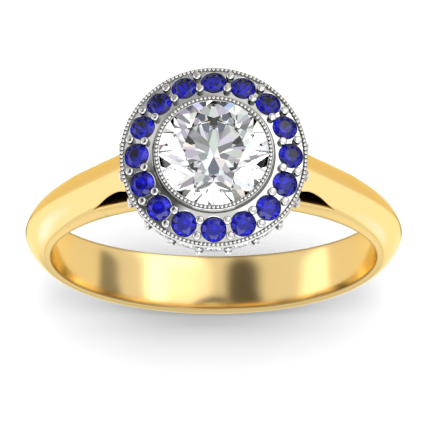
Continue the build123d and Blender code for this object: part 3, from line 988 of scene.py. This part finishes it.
def build_halo_plate():
    """Pierced cone, rim track and foot, with the painted shade of each."""
    seat = SeatFrame((SAPPHIRE_CIRCLE, 0, HALO_Z), (np.sin(HALO_SLOPE), 0, np.cos(HALO_SLOPE)),
                     (np.cos(HALO_SLOPE), 0, -np.sin(HALO_SLOPE)), polar_uv)
    inner = COLLET_R + GROOVE
    half_sector = np.pi / SAPPHIRE_COUNT
    points, faces = fill_circle(pierced_sector(SAPPHIRE_CIRCLE, inner, TRACK_INNER_R, half_sector,
                                               plate_front, plate_back, seat, SAPPHIRE_R), SAPPHIRE_COUNT)
    track_top = plate_height(TRACK_INNER_R)
    track = spin(rounded([(TRACK_INNER_R, track_top - HALO_THICKNESS + 0.1), (HALO_R, UNDERSIDE_Z),
                          (HALO_R, TRACK_Z), (TRACK_INNER_R, track_top)], 0.03), 224)
    tucked = COLLET_R - 0.02
    foot = spin(rounded([(tucked, plate_height(COLLET_R) - HALO_THICKNESS),
                         (inner, plate_height(inner) - HALO_THICKNESS), (inner, plate_height(inner)),
                         (tucked, plate_height(COLLET_R) - 0.14)], 0.02), 224)
    # painted shade in the seats below the surface and on the foot in its groove
    depth = plate_height(np.hypot(points[:, 0], points[:, 1])) - points[:, 2]
    shade = np.concatenate([fade(depth, 0.05, 0.12), np.zeros(len(track[0])),
                            np.full(len(foot[0]), FOOT_SHADE)])
    return *join((points, faces), track, foot), shade


halo_points, halo_faces, halo_shade = build_halo_plate()
make_piece("halo_seat_plate", halo_points, halo_faces, white_metal, "white_metal", "halo_plate",
           sharp=25, painted_shade=halo_shade)

# %% [markdown]
# The side band hangs under the plate's rim and carries small diamonds all round. It is the same kind of
# ring, with height in place of radius.

# %% Gallery band
GALLERY_R = band_high[0]
GALLERY_INNER_R = 4.05
GALLERY_BOTTOM = band_low[2]
GALLERY_TOP = band_high[2]
SIDE_STONE_R = 0.45
SIDE_STONE_COUNT = 20
SIDE_STONE_Z = 11.95


def band_front(uv):
    """(height, angle) to a place on the band's outer cylinder."""
    return round_axis(GALLERY_R, uv[:, 1], uv[:, 0])


def band_back(uv):
    """The same, on the inside."""
    return round_axis(GALLERY_INNER_R, uv[:, 1], uv[:, 0])


def height_uv(points):
    """Place to (height, angle)."""
    return np.stack([points[:, 2], np.arctan2(points[:, 1], points[:, 0])], axis=1)


def build_gallery_band():
    """Twenty pierced sectors."""
    seat = SeatFrame((GALLERY_R, 0, SIDE_STONE_Z), (1, 0, 0), (0, 0, 1), height_uv)
    sector = pierced_sector(SIDE_STONE_Z, GALLERY_BOTTOM, GALLERY_TOP, np.pi / SIDE_STONE_COUNT,
                            band_front, band_back, seat, SIDE_STONE_R)
    return fill_circle(sector, SIDE_STONE_COUNT)


gallery_points, gallery_faces = build_gallery_band()
# painted shade over the whole band, deeper towards its hem
near_hem = fade(gallery_points[:, 2] - GALLERY_BOTTOM, 0.10, 0.03)
make_piece("gallery_side_band", gallery_points, gallery_faces, white_metal, "white_metal", "gallery_band",
           sharp=25, painted_shade=0.22 + 0.45 * near_hem)

# %% [markdown]
# Prongs. Between each pair of sapphires stand two of them, and between the side stones another pair. On the
# plate each is a short round post whose top was pressed flat and rounded at its edge, so it shows a bright
# ring round a flat. On the band each is a plain round bead.

# %% Prong heads
INNER_BEAD_CIRCLE = 3.40
OUTER_BEAD_CIRCLE = 4.14
PRONG_R = 0.215
PRONG_TOP = 0.27
PRONG_ROOT = 0.20
PRONG_FLAT = 0.45 * PRONG_R
SIDE_BEAD_R = 0.19
SIDE_BEAD_CIRCLE = 4.53
SIDE_BEAD_OFFSET = 0.30


def post():
    """A round post from root to top: a straight wall, a quarter circle, then a slightly domed flat."""
    edge = PRONG_R - PRONG_FLAT
    shoulder = PRONG_TOP - edge
    turn_in = np.linspace(0, np.pi / 2, 7)
    wall = [(PRONG_R, -PRONG_ROOT), (PRONG_R, 0.4 * shoulder), (PRONG_R, shoulder)]
    over = np.stack([PRONG_FLAT + edge * np.cos(turn_in), shoulder + edge * np.sin(turn_in)], axis=1)[1:]
    crown = [(0.66 * PRONG_FLAT, PRONG_TOP + 0.004), (0.33 * PRONG_FLAT, PRONG_TOP + 0.007),
             (0.0, PRONG_TOP + 0.008)]
    return spin_knob(np.vstack([wall, over, crown]), 28)


def reach_from_axis(shape, radius):
    """How far each point of a knob is from its own axis, as a share of its radius."""
    return np.hypot(shape[0][:, 0], shape[0][:, 1]) / radius


def halo_beads(circle):
    """Sixteen prongs on the cone, standing along its normal, half a step off the stones.
    Painted shade is deep on the wall and faint round the flat."""
    prong = post()
    reach = reach_from_axis(prong, PRONG_R)
    # painted shade on the wall and a faint ring round the flat
    shade = 0.85 * fade(reach, 0.86, 0.97) + 0.40 * fade(reach, 0.52, 0.46) * fade(reach, 0.30, 0.44)
    places = ring_places(circle, plate_height(circle), SAPPHIRE_COUNT, 0.5, HALO_SLOPE)
    return *copies(prong, *places), np.tile(shade, SAPPHIRE_COUNT)


def side_beads(height):
    """Twenty beads on the side band, pointing outwards, with painted shade that deepens where they sink in.
    """
    prong = dome(SIDE_BEAD_R, 20, 8, 0.20)
    # painted shade all over, deeper where the bead meets the band
    shade = 0.12 + 0.75 * fade(reach_from_axis(prong, SIDE_BEAD_R), 0.80, 0.96)
    places = ring_places(SIDE_BEAD_CIRCLE, height, SIDE_STONE_COUNT, 0.5, np.pi / 2)
    return *copies(prong, *places), np.tile(shade, SIDE_STONE_COUNT)


bead_rows = [
    ("inner_prong_heads", halo_beads(INNER_BEAD_CIRCLE), "inner_prong_beads"),
    ("outer_prong_heads", halo_beads(OUTER_BEAD_CIRCLE), "outer_prong_beads"),
    ("gallery_upper_heads", side_beads(SIDE_STONE_Z + SIDE_BEAD_OFFSET), "gallery_upper_beads"),
    ("gallery_lower_heads", side_beads(SIDE_STONE_Z - SIDE_BEAD_OFFSET), "gallery_lower_beads"),
]
for name, (points, faces, shade), replaced in bead_rows:
    make_piece(name, points, faces, white_metal, "white_metal", replaced, sharp=50, painted_shade=shade)

# %% [markdown]
# The struts under the gallery keep their frame shape: plain bars are what they really are. They only need
# the same metal as the rest of the head.

# %% Struts
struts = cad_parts["gallery_struts"]
struts.data.materials.clear()
struts.data.materials.append(white_metal)
print("struts are", struts.data.materials[0].name)

# %% [markdown]
# Gems. A round brilliant is a set of flat facets whose corners lie on a few circles: table corners, star
# points, girdle points, lower points and the culet. The heights of the star and lower points follow from
# the main facets being flat, so only a few proportions are needed. Facets stay flat shaded: the sparkle
# comes from real refraction between them.


# %% Brilliant cut
def brilliant(radius, girdle, crown, pavilion, table, star, lower):
    """Corners and facets. crown and pavilion are heights; table, star and lower are shares of the radius."""
    eight = np.arange(8) * np.pi / 4
    sixteen = np.arange(16) * np.pi / 8
    half = np.pi / 8
    top, bottom = girdle / 2 + crown, -girdle / 2 - pavilion
    table_r = table * radius
    inner = table_r * np.cos(half)
    star_r = inner + star * (radius - inner)
    star_z = top - crown * (star_r * np.cos(half) - table_r) / (radius - table_r)
    lower_r = (1 - lower) * radius
    lower_z = bottom + pavilion * lower_r * np.cos(half) / radius
    circles = [(table_r, eight, top), (star_r, eight + half, star_z), (radius, sixteen, girdle / 2),
               (radius, sixteen, -girdle / 2), (lower_r, eight + half, lower_z)]
    corners = np.vstack([round_axis(*circle) for circle in circles] + [[[0.0, 0.0, bottom]]])
    t, s, g, h, low, culet = 0, 8, 16, 32, 48, 56
    facets = [list(range(8))]
    for k in range(8):
        n, p = (k + 1) % 8, (k - 1) % 8
        here, middle, there = 2 * k, 2 * k + 1, (2 * k + 2) % 16
        facets += [
            [t + k, s + k, t + n],
            [t + k, s + p, g + here, s + k],
            [s + k, g + here, g + middle],
            [s + k, g + middle, g + there],
            [g + here, h + here, h + middle, g + middle],
            [g + middle, h + middle, h + there, g + there],
            [low + k, h + middle, h + here],
            [low + k, h + there, h + middle],
            [culet, low + k, h + here, low + p],
        ]
    return corners, facets


# %% Setting the stones
CENTRE_CUT = dict(radius=STONE_R, girdle=GIRDLE_HEIGHT, crown=0.86, pavilion=2.36, table=0.56, star=0.5,
                  lower=0.72)
SAPPHIRE_CUT = dict(radius=SAPPHIRE_R, girdle=0.03, crown=0.17, pavilion=0.50, table=0.55, star=0.5,
                    lower=0.75)
SIDE_CUT = dict(radius=SIDE_STONE_R, girdle=0.03, crown=0.12, pavilion=0.38, table=0.55, star=0.5,
                lower=0.75)
SAPPHIRE_SINK = 0.08
SIDE_STONE_SINK = 0.07


def set_stones(prefix, node_prefix, cut, places, material, slot):
    """One piece per stone, each in its own seat and standing for its own frame node.
    Painted shade deepens the tone towards the girdle."""
    stone = brilliant(**cut)
    # painted shade: darker towards the girdle
    depth = 0.9 * fade(reach_from_axis(stone, cut["radius"]), 0.50, 0.80)
    for index in range(len(places[0])):
        points, faces = copies(stone, *(part[index:index + 1] for part in places))
        make_piece(f"{prefix}_{index + 1:02d}", points, faces, material, slot,
                   f"{node_prefix}_{index + 1:02d}", smooth=False, painted_shade=depth)


centre_points, centre_faces = brilliant(**CENTRE_CUT)
make_piece("centre_brilliant", centre_points + [0, 0, GIRDLE_Z], centre_faces, diamond, "diamond",
           "centre_diamond", smooth=False)
origins, ups, outs = ring_places(SAPPHIRE_CIRCLE, HALO_Z, SAPPHIRE_COUNT, 0, HALO_SLOPE)
sunk_places = (origins - SAPPHIRE_SINK * ups, ups, outs)
set_stones("halo_sapphire", "sapphire", SAPPHIRE_CUT, sunk_places, sapphire, "sapphire")
side_places = ring_places(GALLERY_R - SIDE_STONE_SINK, SIDE_STONE_Z, SIDE_STONE_COUNT, 0, np.pi / 2)
set_stones("gallery_diamond", "side_diamond", SIDE_CUT, side_places, diamond, "diamond")

# %% [markdown]
# The ring stands on a plain white surface, which is part of the stage and not of the object. Mirrors don't
# see it: they see the painted ground, whose patches give the gold its warm and dark bands.

# %% Floor
FLOOR_REACH = 160.0


def add_floor():
    """A wide square that just touches the bottom of the shank."""
    corners = np.array([(-1, -1), (1, -1), (1, 1), (-1, 1)]) * FLOOR_REACH
    points = np.column_stack([corners, np.full(4, FLOOR_Z)]) * MM
    mesh = bpy.data.meshes.new("floor")
    mesh.from_pydata(points.tolist(), [], [[0, 1, 2, 3]])
    floor = bpy.data.objects.new("floor", mesh)
    bpy.context.scene.collection.objects.link(floor)
    floor.visible_glossy = False
    mesh.materials.append(new_material("white_floor", Base_Color=(0.90, 0.90, 0.90, 1.0), Roughness=0.9,
                                       Specular_IOR_Level=0.0)[0])
    print("floor is", 2 * FLOOR_REACH, "mm wide")


add_floor()
